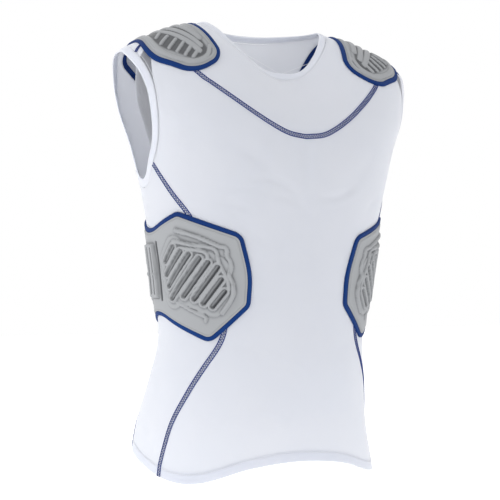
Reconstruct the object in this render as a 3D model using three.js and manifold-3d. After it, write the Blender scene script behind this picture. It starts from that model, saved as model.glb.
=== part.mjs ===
// A sleeveless padded compression shirt in its worn form, hollow and open at neck, hem and armholes.
// Millimetres, +Z up. The front faces -Y and +X is the wearer's left. The origin lies midway between
// the two high points of the shoulders, beside the neck, where the shirt hangs on its wearer.
import * as THREE from 'three';
import Module from 'manifold-3d';

// Driving dimensions
const WALL = 1.6; // knit panel
const GAP = 0.3; // between neighbours at a seam
const LIFT = 0.65; // underside of a pad or trim above the panel it lies on
const HEM_TURN = 13.5; // height of the turned hem
const HEM_STEP = 1.2;
const HEM_WALL = 2.6;
const NECK_BAND = 10;
const ARMHOLE_BAND = 12;
const BAND_FACE = 0.5; // outer face of a folded band above the garment's surface
const BAND_BACK = -1.9;
const TRIM_WIDTH = 6;
const TRIM_HEIGHT = 2.4;
const WEB_HEIGHT = 3; // thin part of a moulded pad
const RIB_BLOCK_HEIGHT = 7.5;
const SHOULDER_BLOCK_HEIGHT = 5;

const CLOTH = { color: 0xe8eaf3, roughness: 0.72 };
const FOAM = { color: 0xb3b4b6, roughness: 0.8 };
const BINDING = { color: 0x143c8c, roughness: 0.7 };

// The worn form as level rings, hem to neck. half and sideY place the side line, front and back are
// the depths from it, the z values are the ring's height there, boxFront and boxBack make the
// section squarer, and a larger dip keeps the ring low over more of its front.
const RING_COLUMNS = [
  'half', 'sideY', 'front', 'back', 'sideZ', 'frontZ', 'backZ', 'boxFront', 'boxBack', 'dip',
];
const RINGS = {
  hem: [162, 14, 122, 112, -582, -582, -582, 2.5, 3.3, 2],
  seat: [154, 14, 115, 114, -530, -530, -530, 2.4, 3.1, 2],
  hips: [148, 6, 113, 101, -475, -475, -475, 2.3, 2.6, 2],
  waist: [143, -3, 104, 90, -420, -420, -420, 2.3, 2.3, 2],
  lowRibs: [148, -7, 107, 96, -355, -355, -355, 2.3, 2.3, 2],
  ribs: [157, -9, 114, 106, -290, -290, -290, 2.3, 2.3, 2],
  chest: [167, -11, 121, 114, -228, -230, -228, 2.4, 2.4, 2],
  armpit: [181, -12, 121, 120, -168, -184, -178, 2.5, 2.5, 2],
  across: [203, -12, 110, 116, -110, -143, -132, 2.5, 2.5, 2],
  shoulder: [214, -10, 74, 84, -56, -96, -70, 2.3, 2.3, 2],
  collarbone: [150, -4, 66, 60, -22, -82, -30, 2.1, 2.1, 2.2],
  neck: [86, 0, 64, 46, 0, -71, -4, 2, 2, 3],
};
const NECK_LEVEL = Object.keys(RINGS).length - 1;
// Rise of the hem line every 30 degrees from centre front to centre back, gone two rings up
const HEM_RISE = [7, 1, -18, -4, 17, 16, 14];
const HEM_FADE = 2;
const BEND_FADE = 2.2;
const STRIDE = 4; // longest step of a walk over the surface

// Curves on the form are lists of places [angle from the front in degrees, ring level], wearer's left
const ARMHOLE_EDGE = [
  [88, 9.1], [80.5, 8.73], [76, 8.2], [75.6, 7.65], [79, 7.1], [85.5, 6.66], [93, 6.3],
  [101, 6.38], [106.5, 6.85], [107, 7.45], [104.5, 8.05], [103, 8.6], [97, 9.02],
];
const SHOULDER_SEAM_END = 0.7; // places along the armhole list where seams meet it
const FRONT_SEAM_END = 4.95;
const REAR_SEAM_END = 7.6;
const SIDE_MIDDLE = 96; // the side panel's centre line
const SIDE_SEAM = [
  [77, 0.25], [75.3, 0.6], [72, 1.15], [65.5, 1.75], [58, 2.42], [49.5, 3.2], [50, 4],
  [57, 4.8], [64.5, 5.44], [73, 5.95],
];
const SHOULDER_SEAM = [[83, 9.5], [86, 10], [89, 10.5]];
// Yoke seam seen from the front, centre to shoulder, as x and z
const YOKE_SEAM = [
  [0, -160], [24, -157.5], [47, -147], [72, -131], [96, -113], [117, -96], [136, -78],
  [152, -50], [166, -10],
];
const YOKE_SAMPLES = 24;
const YOKE_BLOCK = { front: -200, back: 100, top: 60 };

const ARMHOLE_STATIONS = { front: 12, bottom: 9, rear: 12 };
const NECK_STATIONS = { front: 16, back: 10 };
const SIDE_SEAM_ROWS = 17;
const SHOULDER_SEAM_COLUMNS = 4;

// Pad outlines along the middle of their binding, as corners rounded by a radius in a flat pattern
// of millimetres. end marks the four corners of the pattern's grid.
// Rib pad: across is forward from the side line, up is from the pad's middle
const RIB_HALF = [
  { across: 66, up: 74, radius: 12 }, { across: 144, up: 45, radius: 12, end: true },
  { across: 148.5, up: -4, radius: 120 }, { across: 142, up: -43, radius: 14, end: true },
  { across: 92, up: -87.5, radius: 12 },
];
const RIB_WAIST = { top: 50, bottom: -48, radius: 70 };
const RIB_MIDDLE = { angle: 94, level: 4.35 };
const RIB_GRID = { columns: 26, rows: 7 };
// Raised blocks of a pad: centre, half sizes and the slope round them
const RIB_LOBE = { across: 78, up: -4, halfAcross: 34, halfUp: 36, slope: 14 };
// Slots moulded into the rib pad's front lobe, from upper to lower end, and beside the bridge's bar.
// The rear lobe mirrors them.
const RIB_SLOTS = [
  [[55.6, 32.8], [40, 14.4]], [[66.1, 26.9], [39.4, -2.8]], [[76.5, 23], [41.5, -17.3]],
  [[89.3, 17.7], [44.9, -33.1]], [[99.2, 12.4], [62.9, -30.4]], [[110.1, 6.5], [76.7, -33.8]],
  [[112.3, -9.4], [87.7, -39.1]], [[114.7, -24.5], [98.6, -43.1]], [[5.6, 32], [5.6, -28]],
];
const SLOT_WIDTH = 5;
const SLOT_FLOOR = 3.6;
const SLOT_TOP = 10;
const SLOT_SECTION = 20; // longest straight part of a slot
const RIB_BRIDGE = { across: 0, up: 0, halfAcross: 14, halfUp: 34, slope: 8 };
// Shoulder pad: across is outward from its middle, up is forward from the shoulder's ridge
const SHOULDER_CORNERS = [
  { across: -31, up: 0, radius: 200 },
  { across: -52, up: 94, radius: 20, end: true }, { across: -7, up: 111, radius: 38 },
  { across: 51, up: 57, radius: 55, end: true },
  { across: 47, up: 0, radius: 200 },
  { across: 46, up: -52, radius: 40, end: true }, { across: -5, up: -108, radius: 38 },
  { across: -50, up: -94, radius: 20, end: true },
];
const SHOULDER_MIDDLE = { angle: 90, level: 10.12 };
const SHOULDER_GRID = { columns: 20, rows: 9 };
// Channels between the bars over the ridge of the shoulder, from front to rear
const SHOULDER_SLOTS = [
  [[6, 66], [7, 0], [6, -66]], [[-8, 44], [-7, 0], [-8, -44]], [[24, 52], [26, 0], [24, -52]],
];
const SHOULDER_BLOCK = { across: 3, up: 0, halfAcross: 24, halfUp: 78, slope: 10 };

// Smooth curve through rows of numbers at a position counted in rows
function through(rows, position, closed = false) {
  const last = rows.length - 1;
  const start = closed ? Math.floor(position) : Math.min(Math.max(Math.floor(position), 0), last - 1);
  const t = position - start;
  const pick = (index) => {
    if (closed) return rows[((index % rows.length) + rows.length) % rows.length];
    if (index < 0) return rows[0].map((value, k) => 2 * value - rows[1][k]);
    if (index > last) return rows[last].map((value, k) => 2 * value - rows[last - 1][k]);
    return rows[index];
  };
  const [a, b, c, d] = [start - 1, start, start + 1, start + 2].map(pick);
  return b.map((value, k) => 0.5 * (2 * value + (c[k] - a[k]) * t
    + (2 * a[k] - 5 * value + 4 * c[k] - d[k]) * t ** 2
    + (3 * value - a[k] - 3 * c[k] + d[k]) * t ** 3));
}

const RING_ROWS = Object.values(RINGS);
const HEM_LOOP = [...HEM_RISE, ...HEM_RISE.slice(1, -1).reverse()].map((rise) => [rise]);

// Point of the garment's outer face at a place
function surface([angle, level]) {
  const row = through(RING_ROWS, level);
  const ring = Object.fromEntries(RING_COLUMNS.map((name, k) => [name, row[k]]));
  const turn = THREE.MathUtils.degToRad(angle);
  const ahead = Math.cos(turn);
  const aside = Math.sin(turn);
  const facesFront = ahead > 0;
  const depth = facesFront ? ring.front : ring.back;
  const box = facesFront ? ring.boxFront : ring.boxBack;
  const reach = (Math.abs(ahead / depth) ** box + Math.abs(aside / ring.half) ** box) ** (-1 / box);
  const middleZ = facesFront ? ring.frontZ : ring.backZ;
  const lift = Math.abs(aside) ** ring.dip;
  const [rise] = through(HEM_LOOP, angle / 30, true);
  const fade = Math.max(1 - level / HEM_FADE, 0) ** 2;
  const z = middleZ * (1 - lift) + ring.sideZ * lift + rise * fade;
  return new THREE.Vector3(reach * aside, ring.sideY - reach * ahead, z);
}

// Change of the point by angle and by level, and the outward normal
function slopes([angle, level]) {
  const [turn, climb] = [0.2, 0.01];
  const alongAngle = surface([angle + turn, level]).sub(surface([angle - turn, level]))
    .divideScalar(2 * turn);
  const alongLevel = surface([angle, level + climb]).sub(surface([angle, level - climb]))
    .divideScalar(2 * climb);
  const normal = alongAngle.clone().cross(alongLevel).normalize();
  return { alongAngle, alongLevel, normal };
}

// Walks a distance over the surface. heading gives the direction as a change of place
function walk(place, heading, distance) {
  const steps = Math.max(1, Math.ceil(Math.abs(distance) / STRIDE));
  const pace = distance / steps;
  const move = (from, at, length) => {
    const [dAngle, dLevel] = heading(at);
    const { alongAngle, alongLevel } = slopes(at);
    const speed = alongAngle.multiplyScalar(dAngle).addScaledVector(alongLevel, dLevel).length();
    return [from[0] + dAngle * length / speed, from[1] + dLevel * length / speed];
  };
  let now = place;
  for (let step = 0; step < steps; step += 1) now = move(now, move(now, now, pace / 2), pace);
  return now;
}

const upward = () => [0, 1];

// Heading that keeps one coordinate: 'z' goes round the body, 'x' goes over the shoulder
const keeping = (axis) => (place) => {
  const { alongAngle, alongLevel } = slopes(place);
  return [alongLevel[axis], -alongAngle[axis]];
};

// Heading square to a direction, to its left seen from outside
const leftOf = (direction) => (place) => {
  const { alongAngle, alongLevel, normal } = slopes(place);
  const aim = normal.cross(direction);
  const [aa, al, ll] = [alongAngle.dot(alongAngle), alongAngle.dot(alongLevel), alongLevel.dot(alongLevel)];
  const [ra, rl] = [alongAngle.dot(aim), alongLevel.dot(aim)];
  return [(ra * ll - rl * al), (rl * aa - ra * al)];
};

// Moves a run of places sideways over the surface, to the left of its own direction
function beside(run, distance, closed = false) {
  const count = run.length;
  const points = run.map(surface);
  return run.map((place, k) => {
    const before = closed ? (k + count - 1) % count : Math.max(k - 1, 0);
    const after = closed ? (k + 1) % count : Math.min(k + 1, count - 1);
    return walk(place, leftOf(points[after].clone().sub(points[before])), distance);
  });
}

// Even stations, by length over the surface, along a curve between two of its positions
function stations(curve, from, to, count) {
  const fine = 200;
  const places = Array.from({ length: fine + 1 }, (_, k) => curve(from + (to - from) * k / fine));
  return evenly(places, places.map(surface), count);
}

// Even picks from a run, measured along its points
function evenly(run, points, count) {
  const lengths = [0];
  for (let k = 1; k < points.length; k += 1) {
    lengths.push(lengths[k - 1] + points[k].distanceTo(points[k - 1]));
  }
  const total = lengths[lengths.length - 1];
  return Array.from({ length: count + 1 }, (_, k) => {
    const goal = total * k / count;
    const next = Math.max(1, lengths.findIndex((length) => length >= goal - 1e-9));
    const t = (goal - lengths[next - 1]) / (lengths[next] - lengths[next - 1]);
    return run[next].map((value, axis) => run[next - 1][axis] + (value - run[next - 1][axis]) * t);
  });
}

// Fills the space between four runs that share their corners. The bend of the two side runs dies
// away towards the middle.
function fill(bottom, top, left, right) {
  const columns = bottom.length - 1;
  const rows = left.length - 1;
  return left.map((_, i) => bottom.map((__, j) => {
    const [s, t] = [j / columns, i / rows];
    return bottom[j].map((value, k) => {
      const leftBend = left[i][k] - (1 - t) * left[0][k] - t * left[rows][k];
      const rightBend = right[i][k] - (1 - t) * right[0][k] - t * right[rows][k];
      return (1 - t) * value + t * top[j][k] + (1 - s) ** BEND_FADE * leftBend + s ** BEND_FADE * rightBend;
    });
  }));
}

// Closed wall over a grid of places. outer and inner are the heights of its faces above the surface
// by row and column, and a ring joins its last row to its first.
function wall(grid, outer, inner, ring = false) {
  const rows = grid.length;
  const columns = grid[0].length;
  const position = [];
  for (const height of [inner, outer]) {
    grid.forEach((row, i) => row.forEach((place, j) => {
      const point = surface(place).addScaledVector(slopes(place).normal, height(i, j));
      position.push(point.x, point.y, point.z);
    }));
  }
  const index = [];
  const at = (face, i, j) => (face * rows + (i % rows)) * columns + j;
  const quad = (a, b, c, d) => index.push(a, b, c, a, c, d);
  const end = columns - 1;
  for (let i = 0; i < (ring ? rows : rows - 1); i += 1) {
    for (let j = 0; j < end; j += 1) {
      quad(at(1, i, j), at(1, i, j + 1), at(1, i + 1, j + 1), at(1, i + 1, j));
      quad(at(0, i, j), at(0, i + 1, j), at(0, i + 1, j + 1), at(0, i, j + 1));
    }
    quad(at(0, i, 0), at(1, i, 0), at(1, i + 1, 0), at(0, i + 1, 0));
    quad(at(0, i, end), at(0, i + 1, end), at(1, i + 1, end), at(1, i, end));
  }
  for (let j = 0; j < end && !ring; j += 1) {
    quad(at(0, 0, j), at(0, 0, j + 1), at(1, 0, j + 1), at(1, 0, j));
    quad(at(0, rows - 1, j), at(1, rows - 1, j), at(1, rows - 1, j + 1), at(0, rows - 1, j + 1));
  }
  return outward(position, index);
}

// Geometry whose faces point out, turned over if its volume comes out negative
function outward(position, index) {
  const corner = (k) => new THREE.Vector3().fromArray(position, index[k] * 3);
  let volume = 0;
  for (let k = 0; k < index.length; k += 3) volume += corner(k).dot(corner(k + 1).cross(corner(k + 2)));
  const geometry = new THREE.BufferGeometry();
  geometry.setAttribute('position', new THREE.BufferAttribute(new Float32Array(position), 3));
  geometry.setIndex(volume < 0 ? [...index].reverse() : index);
  geometry.computeVertexNormals();
  return geometry;
}

const shirt = new THREE.Group();

function add(name, geometry, look) {
  const mesh = new THREE.Mesh(geometry, new THREE.MeshStandardMaterial({ ...look, metalness: 0 }));
  mesh.name = name;
  shirt.add(mesh);
}

// Adds a piece on the wearer's left and its mirror image on the right
function addPair(name, geometry, look) {
  const points = geometry.attributes.position.array;
  const mirrored = Array.from(points, (value, k) => (k % 3 === 0 ? -value : value));
  add(`${name}_left`, geometry, look);
  add(`${name}_right`, outward(mirrored, [...geometry.index.array]), look);
}

const mirror = (run) => run.map(([angle, level]) => [-angle, level]);
const aboutBack = (run) => run.map(([angle, level]) => [360 - angle, level]);

// Armhole: stations round its edge from the shoulder seam forward, and the line where panels stop
const armholeCurve = (position) => through(ARMHOLE_EDGE, position, true);
const armholeEdge = [
  ...stations(armholeCurve, SHOULDER_SEAM_END, FRONT_SEAM_END, ARMHOLE_STATIONS.front).slice(0, -1),
  ...stations(armholeCurve, FRONT_SEAM_END, REAR_SEAM_END, ARMHOLE_STATIONS.bottom).slice(0, -1),
  ...stations(armholeCurve, REAR_SEAM_END, SHOULDER_SEAM_END + ARMHOLE_EDGE.length, ARMHOLE_STATIONS.rear)
    .slice(0, -1),
];
const armholeOuter = beside(armholeEdge, -ARMHOLE_BAND, true);
const armholeStop = beside(armholeEdge, -ARMHOLE_BAND - GAP, true);
const frontSeamStation = ARMHOLE_STATIONS.front;
const rearSeamStation = frontSeamStation + ARMHOLE_STATIONS.bottom;

// Neck: stations from the right side round the front to the left, then round the back
const neckCurve = (angle) => [angle, NECK_LEVEL];
const neckEdge = [
  ...stations(neckCurve, -90, 90, NECK_STATIONS.front).slice(0, -1),
  ...stations(neckCurve, 90, 270, NECK_STATIONS.back).slice(0, -1),
];
const neckOuter = beside(neckEdge, -NECK_BAND, true);
const neckStop = beside(neckEdge, -NECK_BAND - GAP, true);

// Seam runs on the wearer's left, hem to armhole and armhole to neck
function sideSeam(table, end) {
  const foot = [table[0][0], 0];
  const start = walk(foot, upward, HEM_TURN + HEM_STEP);
  const rows = [start, ...table.slice(1), end];
  const upper = stations((position) => through(rows, position), 0, rows.length - 1, SIDE_SEAM_ROWS);
  return [foot, walk(foot, upward, HEM_TURN), ...upper];
}
const frontSeam = sideSeam(SIDE_SEAM, armholeStop[frontSeamStation]);
const rearTable = SIDE_SEAM.map(([angle, level]) => [2 * SIDE_MIDDLE - angle, level]);
const rearSeam = sideSeam(rearTable, armholeStop[rearSeamStation]);
const shoulderRows = [armholeStop[0], ...SHOULDER_SEAM, neckStop[NECK_STATIONS.front]];
const shoulderSeam = stations((position) => through(shoulderRows, position), 0, shoulderRows.length - 1,
  SHOULDER_SEAM_COLUMNS);

// Panel from the hem up: two rows of turned hem, then a fill up to its top run
function panel(left, right, top) {
  const columns = top.length - 1;
  const foot = top.map((_, j) => left[0].map((value, k) => value + (right[0][k] - value) * j / columns));
  const hemRows = [HEM_TURN, HEM_TURN + HEM_STEP].map((height, k) => {
    const row = foot.map((place) => walk(place, upward, height));
    return [left[k + 1], ...row.slice(1, -1), right[k + 1]];
  });
  return [foot, hemRows[0], ...fill(hemRows[1], top, left.slice(2), right.slice(2))];
}
const panelInner = (row) => (row < 2 ? -HEM_WALL : -WALL);

// Front, hem to shoulder seams and neck, cut along the yoke seam
const frontSide = [...beside(frontSeam, GAP / 2), ...armholeStop.slice(1, frontSeamStation).reverse()];
const frontShoulder = beside(shoulderSeam, GAP / 2);
frontSide.push(frontShoulder[0]);
const neckFront = neckStop.slice(1, NECK_STATIONS.front);
const frontTop = [...mirror(frontShoulder), ...neckFront, ...[...frontShoulder].reverse()];
const front = wall(panel(mirror(frontSide), frontSide, frontTop), () => 0, panelInner);

// Back, one plain panel between the rear side seams
const backSide = [...beside(rearSeam, -GAP / 2), ...armholeStop.slice(rearSeamStation + 1)];
const backShoulder = beside(shoulderSeam, -GAP / 2);
backSide.push(backShoulder[0]);
const neckBack = neckStop.slice(NECK_STATIONS.front + 1);
const backTop = [...backShoulder, ...neckBack, ...aboutBack(backShoulder).reverse()];
add('back_panel', wall(panel(backSide, aboutBack(backSide), backTop), () => 0, panelInner), CLOTH);

// Side panel under the arm
const sideLeft = beside(frontSeam, -GAP / 2);
const sideRight = beside(rearSeam, GAP / 2);
const sideTop = [
  sideLeft[sideLeft.length - 1],
  ...armholeStop.slice(frontSeamStation + 1, rearSeamStation),
  sideRight[sideRight.length - 1],
];
addPair('side_panel', wall(panel(sideLeft, sideRight, sideTop), () => 0, panelInner), CLOTH);

const wasm = await Module();
wasm.setup();

function solid(geometry) {
  const mesh = new wasm.Mesh({
    numProp: 3,
    vertProperties: geometry.attributes.position.array,
    triVerts: new Uint32Array(geometry.index.array),
  });
  return new wasm.Manifold(mesh);
}

function geometryOf(manifold) {
  const mesh = manifold.getMesh();
  return outward([...mesh.vertProperties], [...mesh.triVerts]);
}

// Block that runs front to back through the torso above the yoke seam, widened by a margin
function yokeBlock(margin) {
  const half = Array.from({ length: YOKE_SAMPLES + 1 },
    (_, k) => through(YOKE_SEAM, (YOKE_SEAM.length - 1) * k / YOKE_SAMPLES));
  const rows = [...half.slice(1).reverse().map(([x, z]) => [-x, z]), ...half];
  const seam = rows.map(([x, z]) => new THREE.Vector2(x, z));
  const lower = seam.map((point, k) => {
    const along = seam[Math.min(k + 1, seam.length - 1)].clone().sub(seam[Math.max(k - 1, 0)]).normalize();
    return new THREE.Vector2(point.x + along.y * margin, point.y - along.x * margin);
  });
  const end = lower[lower.length - 1].x;
  const outline = [...lower, new THREE.Vector2(end, YOKE_BLOCK.top), new THREE.Vector2(-end, YOKE_BLOCK.top)];
  const faces = [YOKE_BLOCK.front, YOKE_BLOCK.back];
  const position = faces.flatMap((y) => outline.flatMap((point) => [point.x, y, point.y]));
  const count = outline.length;
  const caps = THREE.ShapeUtils.triangulateShape(outline, []);
  const index = caps.flatMap(([a, b, c]) => [a, b, c, a + count, c + count, b + count]);
  for (let k = 0; k < count; k += 1) {
    const next = (k + 1) % count;
    index.push(k, k + count, next + count, k, next + count, next);
  }
  return solid(outward(position, index));
}
add('front_body', geometryOf(solid(front).subtract(yokeBlock(GAP))), CLOTH);
add('front_yoke', geometryOf(solid(front).intersect(yokeBlock(0))), CLOTH);

// Folded bands round the neck and the armholes
function band(edge, outer) {
  return wall(edge.map((place, k) => [place, outer[k]]), () => BAND_FACE, () => BAND_BACK, true);
}
add('neck_band', band(neckEdge, neckOuter), CLOTH);
addPair('armhole_band', band(armholeEdge, armholeOuter), CLOTH);

// Corners rounded by arcs, as a dense closed run split into four sides at the marked corners
function patternSides(corners) {
  const count = corners.length;
  const flat = corners.map(({ across, up }) => new THREE.Vector2(across, up));
  const run = [];
  const marks = [];
  corners.forEach(({ radius, end }, k) => {
    const before = flat[(k + count - 1) % count].clone().sub(flat[k]).normalize();
    const after = flat[(k + 1) % count].clone().sub(flat[k]).normalize();
    const half = Math.acos(THREE.MathUtils.clamp(before.dot(after), -1, 1)) / 2;
    const start = flat[k].clone().addScaledVector(before, radius / Math.tan(half));
    const finish = flat[k].clone().addScaledVector(after, radius / Math.tan(half));
    const centre = flat[k].clone().addScaledVector(before.add(after).normalize(), radius / Math.sin(half));
    const arc = 12;
    for (let step = 0; step <= arc; step += 1) {
      if (end && step === arc / 2) marks.push(run.length);
      const chord = start.clone().lerp(finish, step / arc).sub(centre);
      run.push(chord.setLength(radius).add(centre));
    }
  });
  return marks.map((mark, k) => {
    const next = marks[(k + 1) % marks.length];
    return next > mark ? run.slice(mark, next + 1) : [...run.slice(mark), ...run.slice(0, next + 1)];
  });
}

// Pad outline resampled to the grid's stations and moved out by a distance, as four flat sides
function padOutline(sides, counts, distance) {
  const loop = sides.flatMap((side, k) => (
    evenly(side.map((point) => point.toArray()), side, counts[k]).slice(0, -1)));
  return loop.map(([x, y], k) => {
    const before = loop[(k + loop.length - 1) % loop.length];
    const after = loop[(k + 1) % loop.length];
    const along = new THREE.Vector2(after[0] - before[0], after[1] - before[1]).normalize();
    return [x - along.y * distance, y + along.x * distance];
  });
}

// Solid that cuts one slot of a pad, from its floor to clear of the pad's top
function slotSolid(line, place, top) {
  const corners = line.map(([x, y]) => new THREE.Vector2(x, y));
  const stops = corners.slice(1).flatMap((corner, k) => {
    const parts = Math.ceil(corner.distanceTo(corners[k]) / SLOT_SECTION);
    return Array.from({ length: parts }, (_, part) => corners[k].clone().lerp(corner, (part + 1) / parts));
  });
  const run = [corners[0], ...stops];
  const grid = run.map((point, k) => {
    const along = run[Math.min(k + 1, run.length - 1)].clone().sub(run[Math.max(k - 1, 0)]).normalize();
    return [-SLOT_WIDTH / 2, SLOT_WIDTH / 2].map((aside) => (
      place([point.x - along.y * aside, point.y + along.x * aside])));
  });
  return solid(wall(grid, () => top, () => SLOT_FLOOR + LIFT));
}

// Pad and its binding. place maps the flat pattern onto the garment, height is the pad's top and
// slots are cut into it
function pad(name, corners, { columns, rows }, place, height, slots) {
  const sides = patternSides(corners);
  const counts = [rows, columns, rows, columns];
  const edge = padOutline(sides, counts, -TRIM_WIDTH / 2 - GAP);
  const corner = [0, rows, rows + columns, 2 * rows + columns];
  const first = edge.slice(corner[0], corner[1] + 1);
  const second = edge.slice(corner[1], corner[2] + 1);
  const third = edge.slice(corner[2], corner[3] + 1);
  const fourth = [...edge.slice(corner[3]), edge[0]];
  const flat = fill(second, [...fourth].reverse(), [...first].reverse(), third);
  const grid = flat.map((row) => row.map(place));
  const border = (i, j) => i === 0 || j === 0 || i === rows || j === columns;
  const top = (i, j) => (border(i, j) ? WEB_HEIGHT : height(...flat[i][j])) + LIFT;
  const cutters = slots.map((line) => slotSolid(line, place, SLOT_TOP));
  const slotted = solid(wall(grid, top, () => LIFT)).subtract(wasm.Manifold.union(cutters));
  addPair(`${name}_pad`, geometryOf(slotted), FOAM);
  const inner = padOutline(sides, counts, -TRIM_WIDTH / 2).map(place);
  const outer = padOutline(sides, counts, TRIM_WIDTH / 2).map(place);
  const strip = inner.map((station, k) => [station, outer[k]]);
  addPair(`${name}_trim`, wall(strip, () => TRIM_HEIGHT + LIFT, () => LIFT, true), BINDING);
}

// Smooth plateau of a block: 1 inside its half sizes, 0 past the slope outside them
function plateau(across, up, block) {
  const out = Math.max(
    Math.abs(across - block.across) - block.halfAcross, Math.abs(up - block.up) - block.halfUp, 0);
  return 1 - THREE.MathUtils.smoothstep(out, 0, block.slope);
}

// Rib pad: a slotted block on each lobe and a narrow one on the bridge between them
const ribCorners = [
  { across: 0, up: RIB_WAIST.top, radius: RIB_WAIST.radius }, ...RIB_HALF,
  { across: 0, up: RIB_WAIST.bottom, radius: RIB_WAIST.radius },
  ...RIB_HALF.map((corner) => ({ ...corner, across: -corner.across })).reverse(),
];
const onRibs = ([across, up]) => {
  const start = walk([RIB_MIDDLE.angle, RIB_MIDDLE.level], upward, up);
  return walk(start, keeping('z'), -across);
};
const ribHeight = (across, up) => {
  const lobe = plateau(Math.abs(across), up, RIB_LOBE);
  const bridge = plateau(across, up, RIB_BRIDGE);
  return WEB_HEIGHT + (RIB_BLOCK_HEIGHT - WEB_HEIGHT) * Math.max(lobe, bridge);
};
const ribSlots = RIB_SLOTS.flatMap((slot) => [slot, slot.map(([across, up]) => [-across, up])]);
pad('rib', ribCorners, RIB_GRID, onRibs, ribHeight, ribSlots);

// Shoulder pad: one rounded block over the ridge of the shoulder
const onShoulder = ([across, up]) => {
  const start = walk([SHOULDER_MIDDLE.angle, SHOULDER_MIDDLE.level], upward, -across);
  return walk(start, keeping('x'), up);
};
const shoulderHeight = (across, up) => {
  return WEB_HEIGHT + (SHOULDER_BLOCK_HEIGHT - WEB_HEIGHT) * plateau(across, up, SHOULDER_BLOCK);
};
pad('shoulder', SHOULDER_CORNERS, SHOULDER_GRID, onShoulder, shoulderHeight, SHOULDER_SLOTS);

export default shirt;
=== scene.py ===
import math

import bmesh
import bpy
import numpy as np
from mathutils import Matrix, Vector
from mathutils.kdtree import KDTree


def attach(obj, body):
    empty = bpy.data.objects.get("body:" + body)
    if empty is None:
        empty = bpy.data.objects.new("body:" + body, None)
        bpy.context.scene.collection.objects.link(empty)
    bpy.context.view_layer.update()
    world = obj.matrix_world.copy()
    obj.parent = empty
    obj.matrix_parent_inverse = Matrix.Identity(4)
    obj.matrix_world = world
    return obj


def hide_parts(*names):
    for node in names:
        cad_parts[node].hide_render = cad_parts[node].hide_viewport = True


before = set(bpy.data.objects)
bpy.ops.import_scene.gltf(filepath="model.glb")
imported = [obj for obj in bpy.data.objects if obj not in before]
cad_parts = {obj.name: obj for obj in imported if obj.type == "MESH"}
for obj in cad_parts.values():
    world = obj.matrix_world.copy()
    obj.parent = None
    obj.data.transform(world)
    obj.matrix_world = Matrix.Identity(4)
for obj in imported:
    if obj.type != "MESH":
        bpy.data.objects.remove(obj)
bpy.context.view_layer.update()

# Front of the shirt
# The body from the yoke seam to the hem and the crescent yoke above it, two pieces of smooth white
# stretch knit. They are laid out on the worn form, given as level rings from hem to neck in
# millimetres, where a place is an angle from the front in degrees and a ring level.
MM = 0.001
RING_COLUMNS = ("half", "side_y", "front", "back", "side_z", "front_z", "back_z", "box_front", "box_back", "dip")
RINGS = {
    "hem": (162, 14, 122, 112, -582, -582, -582, 2.5, 3.3, 2),
    "seat": (154, 14, 115, 114, -530, -530, -530, 2.4, 3.1, 2),
    "hips": (148, 6, 113, 101, -475, -475, -475, 2.3, 2.6, 2),
    "waist": (143, -3, 104, 90, -420, -420, -420, 2.3, 2.3, 2),
    "low_ribs": (148, -7, 107, 96, -355, -355, -355, 2.3, 2.3, 2),
    "ribs": (157, -9, 114, 106, -290, -290, -290, 2.3, 2.3, 2),
    "chest": (167, -11, 121, 114, -228, -230, -228, 2.4, 2.4, 2),
    "armpit": (181, -12, 121, 120, -168, -184, -178, 2.5, 2.5, 2),
    "across": (203, -12, 110, 116, -110, -143, -132, 2.5, 2.5, 2),
    "shoulder": (214, -10, 74, 84, -56, -96, -70, 2.3, 2.3, 2),
    "collarbone": (150, -4, 66, 60, -22, -82, -30, 2.1, 2.1, 2.2),
    "neck": (86, 0, 64, 46, 0, -71, -4, 2, 2, 3),
}
RING_ROWS = np.array(list(RINGS.values()), float)
NECK_LEVEL = len(RINGS) - 1
HEM_RISE = (7, 1, -18, -4, 17, 16, 14)
HEM_LOOP = np.array([*HEM_RISE, *HEM_RISE[-2:0:-1]], float)[:, None]
HEM_FADE = 2
BEND_FADE = 2.2

ARMHOLE_EDGE = np.array([
    (88, 9.1), (80.5, 8.73), (76, 8.2), (75.6, 7.65), (79, 7.1), (85.5, 6.66), (93, 6.3),
    (101, 6.38), (106.5, 6.85), (107, 7.45), (104.5, 8.05), (103, 8.6), (97, 9.02),
])
SHOULDER_SEAM_END = 0.7
FRONT_SEAM_END = 4.95
REAR_SEAM_END = 7.6
SIDE_MIDDLE = 96
SIDE_SEAM = np.array([
    (77, 0.25), (75.3, 0.6), (72, 1.15), (65.5, 1.75), (58, 2.42), (49.5, 3.2), (50, 4),
    (57, 4.8), (64.5, 5.44), (73, 5.95),
])
SHOULDER_SEAM = np.array([(83, 9.5), (86, 10), (89, 10.5)])
YOKE_SEAM = np.array([
    (0, -160), (24, -157.5), (47, -147), (72, -131), (96, -113), (117, -96), (136, -78),
    (152, -50), (166, -10),
])
NECK_BAND = 10
ARMHOLE_BAND = 12
GAP = 0.3
KNIT = 1.0
HEM_ROWS = (0.5, 1.5, 3.5, 6, 8.5, 11, 12.6, 13.5, 14.7)
HEM_DOUBLE = 8
HEM_KNIT = 2.3


def through(rows, position, closed=False):
    """Smooth curve through rows of numbers, at positions counted in rows."""
    position = np.asarray(position, float)
    last = len(rows) - 1
    if closed:
        start = np.floor(position).astype(int)
        a, b, c, d = (rows[(start + k) % len(rows)] for k in (-1, 0, 1, 2))
    else:
        start = np.clip(np.floor(position).astype(int), 0, last - 1)
        longer = np.concatenate([2 * rows[:1] - rows[1:2], rows, 2 * rows[-1:] - rows[-2:-1]])
        a, b, c, d = (longer[start + k] for k in (0, 1, 2, 3))
    t = (position - start)[..., None]
    return 0.5 * (2 * b + (c - a) * t + (2 * a - 5 * b + 4 * c - d) * t**2 + (3 * b - a - 3 * c + d) * t**3)


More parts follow.
